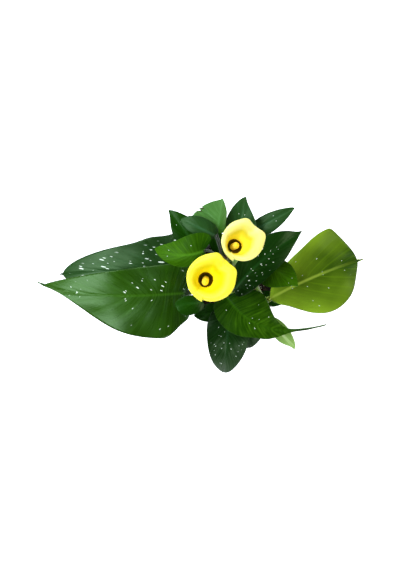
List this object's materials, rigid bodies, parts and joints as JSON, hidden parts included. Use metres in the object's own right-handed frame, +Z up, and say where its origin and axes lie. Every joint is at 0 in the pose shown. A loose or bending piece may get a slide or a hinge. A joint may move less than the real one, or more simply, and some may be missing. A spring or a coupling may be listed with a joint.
{
  "type": "potted calla lily",
  "caption": "Potted calla lily: yellow funnel flowers on tall stems above spreading, spotted arrow-shaped leaves in a plain round pot.",
  "frame": {"origin": "centre of the pot's underside", "axes": "+Z up, +X along the widest spread of the leaves, -Y towards the front"},
  "size_m": [0.4554, 0.2454, 0.3991],
  "materials": {
    "pot": "matte",
    "potting_soil": "matte",
    "tuber": "matte",
    "shoot": "satin",
    "stalk": "satin",
    "flower_stem": "satin",
    "leaf_dark": "satin",
    "leaf_bright": "satin",
    "leaf_pale": "satin",
    "leaf_worn": "satin",
    "spathe_front": "satin",
    "spathe_rear": "satin",
    "spadix": "matte"
  },
  "bodies": {
    "root": {"pot": "pot", "potting_soil": "potting_soil", "tuber": "tuber", "shoot_left": "shoot", "shoot_back": "shoot", "shoot_right": "shoot", "shoot_front": "shoot", "flower_stem_front": "flower_stem", "flower_stem_rear": "flower_stem", "spathe_front": "spathe_front", "spathe_rear": "spathe_rear", "spadix_front": "spadix", "spadix_rear": "spadix", "leaf_left_big": "leaf_dark", "leaf_left_rear": "leaf_dark", "leaf_left_small": "leaf_bright", "leaf_left_inner": "leaf_dark", "leaf_back_left": "leaf_dark", "leaf_back_inner": "leaf_dark", "leaf_back_torn": "leaf_worn", "leaf_centre": "leaf_dark", "leaf_back_middle": "leaf_dark", "leaf_back_right": "leaf_dark", "leaf_right_long": "leaf_dark", "leaf_right_pale": "leaf_pale", "leaf_right_small": "leaf_dark", "leaf_right_low": "leaf_dark", "leaf_front_tailed": "leaf_dark", "leaf_front_broad": "leaf_dark", "leaf_front_low": "leaf_dark", "leaf_front_pale": "leaf_pale", "leaf_front_left": "leaf_dark", "stalk_left_big": "stalk", "stalk_left_rear": "stalk", "stalk_left_small": "stalk", "stalk_left_inner": "stalk", "stalk_back_left": "stalk", "stalk_back_inner": "stalk", "stalk_back_torn": "stalk", "stalk_centre": "stalk", "stalk_back_middle": "stalk", "stalk_back_right": "stalk", "stalk_right_long": "stalk", "stalk_right_pale": "stalk", "stalk_right_small": "stalk", "stalk_right_low": "stalk", "stalk_front_tailed": "stalk", "stalk_front_broad": "stalk", "stalk_front_low": "stalk", "stalk_front_pale": "stalk", "stalk_front_left": "stalk"}
  },
  "joints": []
}
